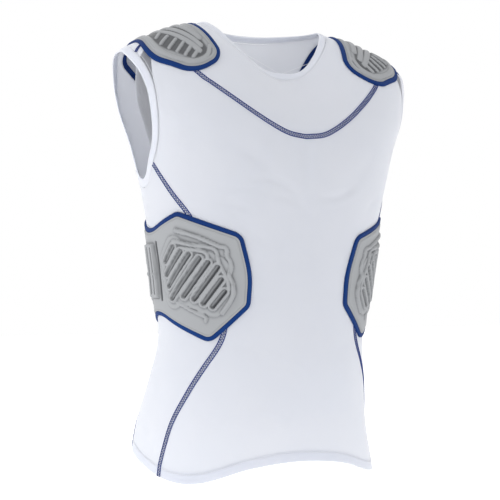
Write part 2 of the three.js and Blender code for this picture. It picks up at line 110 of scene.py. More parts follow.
def surface(place):
    """Point of the shirt's outer face at a place, before creases."""
    angle, level = np.moveaxis(np.asarray(place, float), -1, 0)
    row = np.moveaxis(through(RING_ROWS, level), -1, 0)
    ring = dict(zip(RING_COLUMNS, row))
    ahead, aside = np.cos(np.radians(angle)), np.sin(np.radians(angle))
    depth = np.where(ahead > 0, ring["front"], ring["back"])
    box = np.where(ahead > 0, ring["box_front"], ring["box_back"])
    middle_z = np.where(ahead > 0, ring["front_z"], ring["back_z"])
    reach = (np.abs(ahead / depth) ** box + np.abs(aside / ring["half"]) ** box) ** (-1 / box)
    lift = np.abs(aside) ** ring["dip"]
    rise = through(HEM_LOOP, angle / 30, closed=True)[..., 0]
    fade = np.clip(1 - level / HEM_FADE, 0, None) ** 2
    z = middle_z * (1 - lift) + ring["side_z"] * lift + rise * fade
    return np.stack([reach * aside, ring["side_y"] - reach * ahead, z], -1)


def slopes(place):
    """Change of the point by angle and by level, and the outward normal."""
    turn, climb = np.array([0.2, 0]), np.array([0, 0.01])
    along_angle = (surface(place + turn) - surface(place - turn)) / (2 * turn[0])
    along_level = (surface(place + climb) - surface(place - climb)) / (2 * climb[1])
    return along_angle, along_level, unit(np.cross(along_angle, along_level))


def unit(vectors):
    return vectors / np.linalg.norm(vectors, axis=-1, keepdims=True)


def dot(a, b):
    return np.sum(a * b, axis=-1)


def walk(place, heading, distance):
    """Walks distances over the surface. heading gives the direction as a change of place."""
    distance = np.asarray(distance, float)
    steps = max(1, math.ceil(np.abs(distance).max() / 4))

    def move(start, at, length):
        way = heading(at)
        along_angle, along_level, _ = slopes(at)
        speed = np.linalg.norm(along_angle * way[..., :1] + along_level * way[..., 1:], axis=-1)
        return start + way * (length / speed)[..., None]

    now = np.asarray(place, float) + np.zeros((*distance.shape, 2))
    for _ in range(steps):
        now = move(now, move(now, now, distance / steps / 2), distance / steps)
    return now


def upward(place):
    return np.broadcast_to(np.array([0.0, 1.0]), place.shape)


def keeping(axis):
    """Heading that keeps one coordinate: 2 goes round the body, 0 goes over the shoulder."""
    def heading(place):
        along_angle, along_level, _ = slopes(place)
        return np.stack([along_level[..., axis], -along_angle[..., axis]], -1)
    return heading


def left_of(direction):
    """Heading square to a direction, to its left seen from outside."""
    def heading(place):
        along_angle, along_level, normal = slopes(place)
        aim = np.cross(normal, direction)
        aa, al, ll = dot(along_angle, along_angle), dot(along_angle, along_level), dot(along_level, along_level)
        ra, rl = dot(along_angle, aim), dot(along_level, aim)
        return np.stack([ra * ll - rl * al, rl * aa - ra * al], -1)
    return heading


def direction_of(points, closed):
    """Direction along a run of points, from each one's neighbours."""
    if closed:
        return np.roll(points, -1, axis=0) - np.roll(points, 1, axis=0)
    return np.concatenate([points[1:2] - points[:1], points[2:] - points[:-2], points[-1:] - points[-2:-1]])


def beside(run, distance, closed=False):
    """Moves a run of places sideways over the surface, to the left of its own direction."""
    direction = direction_of(surface(run), closed)
    return walk(run, left_of(direction), np.full(len(run), float(distance)))


def evenly(run, points, count):
    """Even picks from a run, measured along its points."""
    length = np.concatenate([[0], np.cumsum(np.linalg.norm(np.diff(points, axis=0), axis=1))])
    goal = np.linspace(0, length[-1], count + 1)
    return np.stack([np.interp(goal, length, column) for column in run.T], -1)


def stations(curve, start, end, count):
    """Even stations along a curve of places between two of its positions."""
    places = curve(np.linspace(start, end, 601))
    return evenly(places, surface(places), count)


def fill(bottom, top, left, right):
    """Fills the space between four runs that share their corners."""
    s = np.linspace(0, 1, len(bottom))[None, :, None]
    t = np.linspace(0, 1, len(left))[:, None, None]
    left_bend = left[:, None] - (1 - t) * left[0] - t * left[-1]
    right_bend = right[:, None] - (1 - t) * right[0] - t * right[-1]
    return (1 - t) * bottom + t * top + (1 - s) ** BEND_FADE * left_bend + s**BEND_FADE * right_bend


def mirrored(run):
    return run * np.array([-1, 1])


ARMHOLE_STATIONS = {"front": 48, "bottom": 36, "rear": 66}
NECK_STATIONS = {"front": 72, "back": 60}
SIDE_SEAM_ROWS = 140
SHOULDER_SEAM_COLUMNS = 20


def armhole_curve(position):
    return through(ARMHOLE_EDGE, position, closed=True)


armhole_edge = np.concatenate([
    stations(armhole_curve, SHOULDER_SEAM_END, FRONT_SEAM_END, ARMHOLE_STATIONS["front"])[:-1],
    stations(armhole_curve, FRONT_SEAM_END, REAR_SEAM_END, ARMHOLE_STATIONS["bottom"])[:-1],
    stations(armhole_curve, REAR_SEAM_END, SHOULDER_SEAM_END + len(ARMHOLE_EDGE), ARMHOLE_STATIONS["rear"])[:-1],
])
armhole_outer = beside(armhole_edge, -ARMHOLE_BAND, closed=True)
armhole_stop = beside(armhole_edge, -ARMHOLE_BAND - GAP, closed=True)
front_corner = ARMHOLE_STATIONS["front"]
rear_corner = front_corner + ARMHOLE_STATIONS["bottom"]


def neck_curve(angle):
    return np.stack([angle, np.full_like(angle, NECK_LEVEL)], -1)


neck_edge = np.concatenate([
    stations(neck_curve, -90, 90, NECK_STATIONS["front"])[:-1],
    stations(neck_curve, 90, 270, NECK_STATIONS["back"])[:-1],
])
neck_outer = beside(neck_edge, -NECK_BAND, closed=True)
neck_stop = beside(neck_edge, -NECK_BAND - GAP, closed=True)


def side_seam(table, end):
    """Run from the hem to the armhole, with the rows of the turned hem first."""
    foot = np.array([table[0][0], 0.0])
    start = walk(foot, upward, HEM_ROWS[-1])
    rows = np.vstack([start, table[1:], end])
    upper = stations(lambda position: through(rows, position), 0, len(rows) - 1, SIDE_SEAM_ROWS)
    hem = walk(np.broadcast_to(foot, (len(HEM_ROWS), 2)), upward, np.array(HEM_ROWS))
    return np.vstack([foot, hem[:-1], upper])


front_seam = side_seam(SIDE_SEAM, armhole_stop[front_corner])
rear_seam = side_seam(SIDE_SEAM * [-1, 1] + [2 * SIDE_MIDDLE, 0], armhole_stop[rear_corner])
shoulder_rows = np.vstack([armhole_stop[0], SHOULDER_SEAM, neck_stop[NECK_STATIONS["front"]]])
shoulder_seam = stations(lambda position: through(shoulder_rows, position), 0, len(shoulder_rows) - 1,
                         SHOULDER_SEAM_COLUMNS)


def panel(left, right, top):
    """Panel from the hem up: the rows of the turned hem, then a fill up to its top run."""
    foot = left[0] + (right[0] - left[0]) * np.linspace(0, 1, len(top))[:, None]
    rows = [foot]
    for k, height in enumerate(HEM_ROWS):
        row = walk(foot, upward, np.full(len(foot), height))
        row[0], row[-1] = left[k + 1], right[k + 1]
        rows.append(row)
    fan = spread(fill(rows[-1], top, left[len(HEM_ROWS):], right[len(HEM_ROWS):]))
    return np.concatenate([np.stack(rows[:-1]), fan])


def spread(grid):
    """Spaces each row of a panel evenly, less and less over its upper quarter."""
    points = surface(grid)
    even = np.linspace(0, 1, grid.shape[1])
    spaced = np.empty_like(grid)
    for i, row in enumerate(grid):
        length = np.concatenate([[0], np.cumsum(np.linalg.norm(np.diff(points[i], axis=0), axis=1))])
        length /= length[-1]
        share = np.interp(i / (len(grid) - 1), (0, 0.02, 0.72, 1), (0, 1, 1, 0))
        goal = length + (even - length) * share
        spaced[i] = np.stack([np.interp(goal, length, values) for values in row.T], -1)
    return spaced


# Creases of the worn knit: start and end as angle and level, sideways bow and half width in mm, and
# depth in mm, where a negative depth is a ridge.
CREASE_COLUMNS = ("angle", "level", "end_angle", "end_level", "bow", "width", "depth")
FRONT_CREASES = [
    (-36, 6.2, -3, 5.75, 10, 6, 2.3),
    (-33, 5.95, 4, 5.45, 8, 8, 1.5),
    (5, 5.85, 39, 6.3, -9, 6, 1.9),
    (-2, 8.0, -1, 6.0, 2, 10, 2.6),
    (-47, 7.0, -20, 6.1, 12, 10, 1.9),
    (20, 6.1, 47, 7.1, -10, 10, 1.7),
    (-53, 5.72, -33, 5.5, 4, 4.5, 1.5),
    (-50, 5.92, -26, 5.95, 5, 4, 0.9),
    (-46, 5.6, -24, 4.9, -5, 6, 1.0),
    (44, 5.6, 57, 5.9, 3, 5, 1.4),
    (-69, 6.7, -55, 7.4, 3, 4, 1.3),
    (-70, 7.3, -58, 7.9, 3, 4.5, 1.1),
    (-66, 8.2, -54, 8.6, 3, 5, 0.9),
    (58, 7.2, 69, 6.7, -3, 4, 1.3),
    (-44, 2.9, -12, 2.35, 9, 8, 1.5),
    (-30, 2.5, 14, 2.0, 12, 11, 1.8),
    (-8, 3.5, 27, 3.05, 10, 10, 1.3),
    (20, 2.7, 48, 3.1, -8, 7, 1.3),
    (-32, 1.35, -5, 0.9, 5, 9, 1.5),
    (14, 1.2, 42, 1.65, -6, 8, 1.3),
    (-60, 1.5, -44, 1.0, 4, 7, 1.2),
    (-20, 4.6, 6, 4.3, 7, 12, 1.2),
]
BACK_CREASES = [
    (148, 6.9, 178, 6.2, 9, 8, 2.2),
    (184, 6.1, 213, 6.8, -9, 7, 1.9),
    (179, 8.2, 181, 5.0, 3, 11, 3.0),
    (152, 6.1, 176, 5.6, 7, 7, 1.4),
    (144, 3.6, 172, 3.2, 8, 6, 2.1),
    (186, 3.4, 217, 3.8, -8, 7, 2.0),
    (150, 3.0, 181, 2.7, 7, 5.5, 1.7),
    (178, 2.5, 209, 2.9, -7, 6, 1.8),
    (160, 2.2, 186, 1.9, 6, 8, 1.4),
    (140, 8.2, 157, 7.4, 5, 6, 1.6),
    (203, 7.5, 221, 8.3, -5, 6, 1.4),
    (142, 1.3, 164, 0.9, 5, 9, 1.4),
    (196, 1.0, 219, 1.4, -5, 9, 1.3),
]
SIDE_CREASES = [
    (84, 5.9, 96, 5.6, 3, 4, 0.8),
    (92, 6.0, 106, 5.75, 3, 5, 0.7),
    (82, 2.2, 100, 1.8, 4, 8, 0.9),
    (90, 1.2, 108, 0.8, 4, 9, 0.8),
    (-104, 5.85, -90, 5.6, 3, 4, 0.8),
    (-98, 2.1, -80, 1.7, 4, 8, 0.9),
    (-108, 1.1, -88, 0.8, 4, 9, 0.8),
]


def crease_line(crease):
    """The crease's line on the surface and its sizes."""
    row = dict(zip(CREASE_COLUMNS, crease))
    s = np.linspace(0, 1, 13)
    start = np.array([row["angle"], row["level"]])
    end = np.array([row["end_angle"], row["end_level"]])
    straight = start + (end - start) * s[:, None]
    line = walk(straight, left_of(direction_of(surface(straight), closed=False)), row["bow"] * np.sin(np.pi * s))
    return surface(line), row["width"], row["depth"]


CREASES = [crease_line(crease) for crease in FRONT_CREASES + BACK_CREASES + SIDE_CREASES]


def to_line(points, line):
    """Distance of points to a line of straight pieces, and how far along it they are, 0 to 1."""
    best = np.full(points.shape[:-1], np.inf)
    along = np.zeros(points.shape[:-1])
    for k in range(len(line) - 1):
        piece = line[k + 1] - line[k]
        t = np.clip(dot(points - line[k], piece) / dot(piece, piece), 0, 1)
        distance = np.linalg.norm(points - line[k] - t[..., None] * piece, axis=-1)
        along = np.where(distance < best, (k + t) / (len(line) - 1), along)
        best = np.minimum(best, distance)
    return best, along


def crease_depth(points):
    """How far the creases press the cloth in at points of the surface."""
    flat = points.reshape(-1, 3)
    total = np.zeros(len(flat))
    for line, width, depth in CREASES:
        middle = line[len(line) // 2]
        span = np.linalg.norm(line - middle, axis=1).max() + 3 * width
        near = np.linalg.norm(flat - middle, axis=1) < span
        if not near.any():
            continue
        distance, along = to_line(flat[near], line)
        total[near] += depth * np.exp(-((distance / width) ** 2)) * np.sin(np.pi * along) ** 0.8
    return total.reshape(points.shape[:-1])


def on_cloth(place, height=0.0):
    """Points at a height above the creased cloth, in millimetres."""
    points = surface(place)
    normal = slopes(place)[2]
    return points + normal * (np.asarray(height, float) - crease_depth(points))[..., None]


def cloth_uv(place):
    """Places as metres over the cloth, across and up, for the knit's rows and wales."""
    return np.asarray(place) * np.array([0.95 / 360, 0.0565])


def link(name, mesh, material, sharp=50):
    mesh.shade_smooth()
    mesh.set_sharp_from_angle(angle=math.radians(sharp))
    mesh.materials.append(material)
    made = bpy.data.objects.new(name, mesh)
    bpy.context.scene.collection.objects.link(made)
    return made


def shell(name, outer, inner, uv, material):
    """A wall over a grid of points: the grid is extruded, its new side laid on the outer points."""
    rows, columns = outer.shape[:2]
    bm = bmesh.new()
    bm.loops.layers.uv.new("UVMap")
    bmesh.ops.create_grid(bm, x_segments=columns - 1, y_segments=rows - 1, size=1, calc_uvs=True)
    bmesh.ops.extrude_face_region(bm, geom=bm.faces[:])
    mesh = bpy.data.meshes.new(name)
    bm.to_mesh(mesh)
    bm.free()
    count = rows * columns
    flat = np.empty(count * 2 * 3)
    mesh.vertices.foreach_get("co", flat)
    flat = flat.reshape(-1, 3)
    column = np.rint((flat[:, 0] + 1) / 2 * (columns - 1)).astype(int)
    row = np.rint((flat[:, 1] + 1) / 2 * (rows - 1)).astype(int)
    is_new = np.arange(len(flat)) >= count
    points = np.where(is_new[:, None], outer[row, column], inner[row, column]) * MM
    mesh.vertices.foreach_set("co", points.ravel())
    corners = np.empty(len(mesh.loops), int)
    mesh.loops.foreach_get("vertex_index", corners)
    mesh.uv_layers["UVMap"].data.foreach_set("uv", uv[row, column][corners].ravel())
    return link(name, mesh, material)


def knit_look():
    """Node group: fine wales and courses of the knit as a bump, and a slight unevenness of its white."""
    group = bpy.data.node_groups.new("knit_look", "ShaderNodeTree")
    group.interface.new_socket("Height", in_out="INPUT", socket_type="NodeSocketFloat").default_value = 0.5
    group.interface.new_socket("Colour", in_out="INPUT", socket_type="NodeSocketColor")
    group.interface.new_socket("Shade", in_out="INPUT", socket_type="NodeSocketColor")
    group.interface.new_socket("Colour", in_out="OUTPUT", socket_type="NodeSocketColor")
    group.interface.new_socket("Normal", in_out="OUTPUT", socket_type="NodeSocketVector")
    nodes, links = group.nodes, group.links
    given = nodes.new("NodeGroupInput")
    out = nodes.new("NodeGroupOutput")
    uv = nodes.new("ShaderNodeUVMap")
    uv.uv_map = "UVMap"
    wales = nodes.new("ShaderNodeTexWave")
    wales.wave_type = "BANDS"
    wales.bands_direction = "X"
    wales.inputs["Scale"].default_value = 300
    wales.inputs["Distortion"].default_value = 0.6
    wales.inputs["Detail"].default_value = 1
    courses = nodes.new("ShaderNodeTexWave")
    courses.wave_type = "BANDS"
    courses.bands_direction = "Y"
    courses.inputs["Scale"].default_value = 420
    courses.inputs["Distortion"].default_value = 0.6
    together = nodes.new("ShaderNodeMath")
    together.operation = "MULTIPLY"
    coordinates = nodes.new("ShaderNodeTexCoord")
    cloud = nodes.new("ShaderNodeTexNoise")
    cloud.inputs["Scale"].default_value = 9
    cloud.inputs["Detail"].default_value = 3
    ramp = nodes.new("ShaderNodeMapRange")
    ramp.inputs["From Min"].default_value = 0.35
    ramp.inputs["From Max"].default_value = 0.7
    mix = nodes.new("ShaderNodeMix")
    mix.data_type = "RGBA"
    bump = nodes.new("ShaderNodeBump")
    bump.inputs["Distance"].default_value = 0.0001
    links.new(uv.outputs["UV"], wales.inputs["Vector"])
    links.new(uv.outputs["UV"], courses.inputs["Vector"])
    links.new(wales.outputs["Fac"], together.inputs[0])
    links.new(courses.outputs["Fac"], together.inputs[1])
    links.new(coordinates.outputs["Object"], cloud.inputs["Vector"])
    links.new(cloud.outputs["Fac"], ramp.inputs["Value"])
    links.new(ramp.outputs["Result"], mix.inputs["Factor"])
    links.new(given.outputs["Colour"], mix.inputs["A"])
    links.new(given.outputs["Shade"], mix.inputs["B"])
    links.new(together.outputs["Value"], bump.inputs["Height"])
    links.new(given.outputs["Height"], bump.inputs["Strength"])
    links.new(mix.outputs["Result"], out.inputs["Colour"])
    links.new(bump.outputs["Normal"], out.inputs["Normal"])
    return group


KNIT_LOOK = knit_look()


def knit(name, colour, shade, height=0.5):
    """Satin stretch knit: the knit look on a soft surface with a little sheen."""
    material = bpy.data.materials.new(name)
    material.use_nodes = True
    nodes, links = material.node_tree.nodes, material.node_tree.links
    surface_node = nodes["Principled BSDF"]
    look = nodes.new("ShaderNodeGroup")
    look.node_tree = KNIT_LOOK
    look.inputs["Height"].default_value = height
    look.inputs["Colour"].default_value = (*colour, 1)
    look.inputs["Shade"].default_value = (*shade, 1)
    surface_node.inputs["Roughness"].default_value = 0.62
    surface_node.inputs["Sheen Weight"].default_value = 0.25
    surface_node.inputs["Sheen Roughness"].default_value = 0.45
    surface_node.inputs["Specular IOR Level"].default_value = 0.35
    surface_node.inputs["Subsurface Weight"].default_value = 0.7
    surface_node.inputs["Subsurface Radius"].default_value = (1, 1, 1)
    surface_node.inputs["Subsurface Scale"].default_value = 0.006
    links.new(look.outputs["Colour"], surface_node.inputs["Base Color"])
    links.new(look.outputs["Normal"], surface_node.inputs["Normal"])
    return material


WHITE_KNIT = knit("white_knit", (0.64, 0.66, 0.73), (0.615, 0.64, 0.715))


def cloth_panel(name, grid, double_rows=0):
    """Knit panel over a grid of places, doubled inside where its hem is turned."""
    outer = on_cloth(grid)
    depth = np.full(grid.shape[:2], -KNIT)
    depth[:double_rows + 1] = -HEM_KNIT
    inner = on_cloth(grid, depth)
    made = shell(name, outer, inner, cloth_uv(grid), WHITE_KNIT)
    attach(made, "root")
    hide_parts(name)
    return made


front_side = np.concatenate([beside(front_seam, GAP / 2), armhole_stop[front_corner - 1:0:-1]])
front_shoulder = beside(shoulder_seam, GAP / 2)
front_side = np.concatenate([front_side, front_shoulder[:1]])
front_top = np.concatenate([
    mirrored(front_shoulder), neck_stop[1:NECK_STATIONS["front"]], front_shoulder[::-1],
])
front_grid = panel(mirrored(front_side), front_side, front_top)

# The yoke seam's height over each point, and the row where each column of the front crosses it
yoke_line = through(YOKE_SEAM, np.linspace(0, len(YOKE_SEAM) - 1, 200))
yoke_slope = np.gradient(yoke_line[:, 1], yoke_line[:, 0])


def yoke_crossing(margin):
    points = surface(front_grid)
    aside = np.abs(points[..., 0])
    level = np.interp(aside, yoke_line[:, 0], yoke_line[:, 1])
    stretch = np.hypot(1, np.interp(aside, yoke_line[:, 0], yoke_slope))
    above = points[..., 2] - level + margin * stretch
    crosses = (above > 0).any(axis=0)
    row = np.where(crosses, np.argmax(above > 0, axis=0), len(above) - 1)
    column = np.arange(above.shape[1])
    low, high = above[row - 1, column], above[row, column]
    return np.where(crosses, row - 1 + low / (low - high), len(above) - 1)


def pick(grid, position):
    """Places of a grid at fractional rows, one list of rows for each column."""
    row = np.clip(np.floor(position).astype(int), 0, len(grid) - 2)
    t = (position - row)[..., None]
    column = np.arange(grid.shape[1])[None, :]
    return grid[row, column] * (1 - t) + grid[row + 1, column] * t


BODY_ROWS = 150
YOKE_ROWS = 34
body_top = yoke_crossing(GAP)
yoke_foot = yoke_crossing(0)
hem_rows = np.arange(len(HEM_ROWS))[:, None] + np.zeros(front_grid.shape[1])
body_rows = len(HEM_ROWS) + (body_top - len(HEM_ROWS)) * np.linspace(0, 1, BODY_ROWS)[:, None]
yoke_rows = yoke_foot + (len(front_grid) - 1 - yoke_foot) * np.linspace(0, 1, YOKE_ROWS)[:, None]
front_body = cloth_panel("front_body", pick(front_grid, np.concatenate([hem_rows, body_rows])),
                         HEM_DOUBLE)
in_yoke = yoke_foot < len(front_grid) - 1.5
front_yoke = cloth_panel("front_yoke", pick(front_grid, yoke_rows)[:, in_yoke])

# Back of the shirt
# One plain piece of the same knit between the rear side seams, hem to shoulder seams, which hides
# from the photo and so has only its own shallow creases between the shoulder blades and at the waist.
back_shoulder = beside(shoulder_seam, -GAP / 2)
back_side = np.concatenate([
    beside(rear_seam, -GAP / 2), armhole_stop[rear_corner + 1:], back_shoulder[:1],
])


def about_back(run):
    return run * [-1, 1] + [360, 0]


back_top = np.concatenate([
    back_shoulder, neck_stop[NECK_STATIONS["front"] + 1:], about_back(back_shoulder)[::-1],
])
back_grid = panel(back_side, about_back(back_side), back_top)
back_panel = cloth_panel("back_panel", back_grid, HEM_DOUBLE)

# Side panels
# A narrow piece of the same knit under each arm, between the front and rear side seams, hem to
# armhole, sewn with flatlock and mostly covered by the rib pad.
side_left = beside(front_seam, -GAP / 2)
side_right = beside(rear_seam, GAP / 2)
side_top = np.concatenate([side_left[-1:], armhole_stop[front_corner + 1:rear_corner], side_right[-1:]])
side_grid = panel(side_left, side_right, side_top)
side_panel_left = cloth_panel("side_panel_left", side_grid, HEM_DOUBLE)
side_panel_right = cloth_panel("side_panel_right", mirrored(side_grid)[:, ::-1],
                               HEM_DOUBLE)

# Neck band and armhole bands
# Strips of knit folded in half along their free edge, sewn round the neck and the armholes with
# their outer face a little proud of the panels.
BAND_PROFILE = np.array([
    (0.02, -0.7), (0.05, -0.1), (0.13, 0.35), (0.3, 0.5), (0.5, 0.52), (0.7, 0.5), (0.87, 0.4),
    (0.97, 0.1), (1.0, -0.5), (0.97, -1.1), (0.8, -1.5), (0.5, -1.75), (0.25, -1.8), (0.08, -1.5),
])


def merged(name, patches, material, sharp=50):
    """One mesh from grids of points whose meeting borders are merged, each turned to face out."""
    bm = bmesh.new()
    bm.loops.layers.uv.new("UVMap")
    points, uvs = [], []
    for grid, uv in patches:
        turn = facing_out(grid)
        points.append(turn(grid).reshape(-1, 3))
        uvs.append(turn(uv).reshape(-1, 2))
        bmesh.ops.create_grid(bm, x_segments=grid.shape[1] - 1, y_segments=grid.shape[0] - 1, size=1,
                              calc_uvs=True)
    mesh = bpy.data.meshes.new(name)
    bm.to_mesh(mesh)
    bm.free()
    mesh.vertices.foreach_set("co", (np.concatenate(points) * MM).ravel())
    corners = np.empty(len(mesh.loops), int)
    mesh.loops.foreach_get("vertex_index", corners)
    mesh.uv_layers["UVMap"].data.foreach_set("uv", np.concatenate(uvs)[corners].ravel())
    bm = bmesh.new()
    bm.from_mesh(mesh)
    bmesh.ops.remove_doubles(bm, verts=bm.verts[:], dist=1e-7)
    bm.to_mesh(mesh)
    bm.free()
    return link(name, mesh, material, sharp)


def facing_out(grid):
    """Keeps a closed grid of points as it is, or turns it over where its volume comes out negative."""
    centre = grid.reshape(-1, 3).mean(axis=0)
    a, b, c = grid[:-1, :-1] - centre, grid[:-1, 1:] - centre, grid[1:, 1:] - centre
    d = grid[1:, :-1] - centre
    volume = dot(a, np.cross(b, c)).sum() + dot(a, np.cross(c, d)).sum()
    return (lambda given: given) if volume > 0 else (lambda given: given[:, ::-1])


def looped(values):
    return np.concatenate([values, values[:1]])


def band_patch(edge, outer):
    """Closed strip between two closed runs of places, with the band's section."""
    profile = looped(BAND_PROFILE)
    edge, outer = looped(edge)[:, None], looped(outer)[:, None]
    places = edge + (outer - edge) * profile[None, :, :1]
    points = on_cloth(places, np.broadcast_to(profile[:, 1], places.shape[:2]))
    return points, cloth_uv(places)


def mirror_patch(patch):
    return patch[0] * [-1, 1, 1], patch[1]


def cloth_band(name, patch):
    made = merged(name, [patch], WHITE_KNIT)
    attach(made, "root")
    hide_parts(name)
    return made


neck_band = cloth_band("neck_band", band_patch(neck_edge, neck_outer))
armhole_patch = band_patch(armhole_edge, armhole_outer)
armhole_band_left = cloth_band("armhole_band_left", armhole_patch)
armhole_band_right = cloth_band("armhole_band_right", mirror_patch(armhole_patch))

# Rib pads
# Moulded grey foam, thin at its edge, with slanting slots and rounded ridges on a front and a rear
# lobe, joined under the arm by a bridge of upright bars. Each is laid over the side seams and bound.
LIFT = 0.65
TRIM_WIDTH = 6
WEB = 2.6
RIB_HALF = [  # across forward of the side line, up, radius, end of a side of the pattern's grid
    (66, 74, 12, False), (144, 45, 12, True), (148.5, -4, 120, False), (142, -43, 14, True),
    (92, -87.5, 12, False),
]
RIB_TOP = (0, 50, 70, False)
RIB_BOTTOM = (0, -48, 70, False)
RIB_MIDDLE = np.array([94, 4.35])
RIB_GRID = {"columns": 300, "rows": 110}
RIB_SLOTS = [  # upper end, lower end
    ((55.6, 32.8), (40, 14.4)), ((66.1, 26.9), (39.4, -2.8)), ((76.5, 23), (41.5, -17.3)),
    ((89.3, 17.7), (44.9, -33.1)), ((99.2, 12.4), (62.9, -30.4)), ((110.1, 6.5), (76.7, -33.8)),
    ((112.3, -9.4), (87.7, -39.1)), ((114.7, -24.5), (98.6, -43.1)),
]
RIB_OUTER_RIDGE = [
    (62, 53), (89, 45), (114, 33), (122, 31), (124, 27), (123, 20), (126, 13), (126, 5), (122, -5),
    (125, -13), (125, -21), (122, -34), (109, -52),
]
RIB_INNER_RIDGE = [(57, 40), (80, 35), (104, 31), (111, 26), (112, 14), (114, 5), (119, -8), (120, -21)]
RIB_CHEVRON = [(68, 31), (95, 26), (100, 19), (98, 12)]
RIB_FOOT_RIDGE = [(35, -34), (53, -40), (73, -50), (88, -57), (88, -62)]


def pattern_sides(corners):
    """Corners rounded by arcs, as a dense closed run split into four sides at the marked corners."""
    flat = np.array([corner[:2] for corner in corners], float)
    run, marks = [], []
    for k, (_, _, radius, end) in enumerate(corners):
        before = unit(flat[k - 1] - flat[k])
        after = unit(flat[(k + 1) % len(flat)] - flat[k])
        half = math.acos(np.clip(before @ after, -1, 1)) / 2
        start = flat[k] + before * radius / math.tan(half)
        finish = flat[k] + after * radius / math.tan(half)
        centre = flat[k] + unit(before + after) * radius / math.sin(half)
        chord = start + (finish - start) * np.linspace(0, 1, 13)[:, None] - centre
        if end:
            marks.append(len(run) + 6)
        run.extend(unit(chord) * radius + centre)
    run = np.array(run)
    sides = []
    for k, mark in enumerate(marks):
        following = marks[(k + 1) % len(marks)]
        sides.append(run[mark:following + 1] if following > mark else np.vstack([run[mark:], run[:following + 1]]))
    return sides


def pad_outline(sides, counts, distance):
    """Pad outline resampled and moved out by a distance, in the flat pattern."""
    loop = np.concatenate([evenly(side, side, count)[:-1] for side, count in zip(sides, counts)])
    along = unit(direction_of(loop, closed=True))
    return loop + np.stack([-along[:, 1], along[:, 0]], -1) * distance


def smooth(value, low, high):
    t = np.clip((value - low) / (high - low), 0, 1)
    return t * t * (3 - 2 * t)


def ridge(flat, line, half_width, height):
    """Rounded ridge along a line of the flat pattern."""
    distance = to_line(flat, through(np.array(line, float), np.linspace(0, len(line) - 1, 4 * len(line))))[0]
    return height * np.sqrt(np.clip(1 - (distance / half_width) ** 2, 0, 1))


def slot_floor(lobe):
    """Distance to the nearest slot's middle line, and how far to its upper side a point lies."""
    nearest = np.full(lobe.shape[:-1], np.inf)
    aside = np.zeros(lobe.shape[:-1])
    for upper, lower in np.array(RIB_SLOTS, float):
        distance = to_line(lobe, np.stack([lower, upper]))[0]
        along = unit(upper - lower)
        offset = dot(lobe - lower, np.array([-along[1], along[0]]))
        aside = np.where(distance < nearest, offset, aside)
        nearest = np.minimum(nearest, distance)
    return nearest, aside


def cavity(height):
    """How far a height lies under its surroundings, from 0 to 1, used as a mask of painted shade in the hollows.
    """
    around = height.copy()
    for _ in range(6):
        padded = np.pad(around, 1, mode="edge")
        around = (padded[:-2, 1:-1] + padded[2:, 1:-1] + padded[1:-1, :-2] + padded[1:-1, 2:]) / 4
    return np.clip((around - height) / 0.9, 0, 1)


def rib_relief(flat, to_edge):
    """Height of the rib pad's face in its flat pattern, the painted shade of its slot floors, slit, groove and
    hollows, and where the mesh print of the slot floors lies.
    """
    side, up = np.abs(flat[..., 0]), flat[..., 1]
    lobe = np.stack([side, up], -1)
    web = WEB + 0.9 * smooth(to_edge, 5.4, 6.4)
    slots, aside = slot_floor(lobe)
    floor = 1 - smooth(slots, 2.6, 3.1)
    rim = 3.9 * smooth(slots, 2.6, 3.5) * (1 - smooth(slots, 5.4, 7.6))
    island = 1.5 * (1 - smooth(slots, 13, 14.4))
    raised = np.max([
        rim, island + ridge(lobe, RIB_OUTER_RIDGE, 2.9, 2.5), island + ridge(lobe, RIB_INNER_RIDGE, 2.7, 2.5),
        island + ridge(lobe, RIB_CHEVRON, 2.6, 2.5), ridge(lobe, RIB_FOOT_RIDGE, 2.3, 2.2), island,
        ridge(lobe, RIB_OUTER_RIDGE[:3], 2.9, 3.0),
    ], axis=0) * (1 - floor)
    slope = smooth(aside, -1.4, 1.0)
    past_end = np.clip(np.abs(up - 2) - 33, 0, None)
    bars = np.hypot(np.clip(side - 11, 0, None), past_end)
    block = 4.8 * (1 - smooth(bars, 1.0, 3.2))
    slit = to_line(lobe, np.array([(5.6, 31), (5.6, -27)], float))[0]
    slit_floor = 1 - smooth(slit, 1.4, 2.3)
    bar_round = 0.9 * smooth(np.abs(side - 10.4), 1.0, 4.0) * (bars < 1)
    knob = 1.2 * (1 - smooth(np.hypot(side - 10.8, up + 2), 1.4, 3.4))
    moat = to_line(lobe, np.array([(18.2, 38), (18.2, -35)], float))[0]
    moat_floor = 1 - smooth(moat, 2.3, 3.1)
    bridge = (block - bar_round) * (1 - slit_floor) + knob * (bars < 1)
    height = web + np.maximum(raised, bridge) - 1.9 * moat_floor + floor * (1.1 * slope - 0.5)
    # Painted shade: slot floors darkest along their deeper side, where the wall's shadow falls, the slit between
    # the bars, the groove beside them, and every hollow by its depth.
    painted_shade = np.max([floor * (1 - 0.7 * slope), slit_floor * (past_end < 1) * (side < 9), moat_floor], axis=0)
    return height, np.maximum(painted_shade, 0.55 * cavity(height)), floor * slope


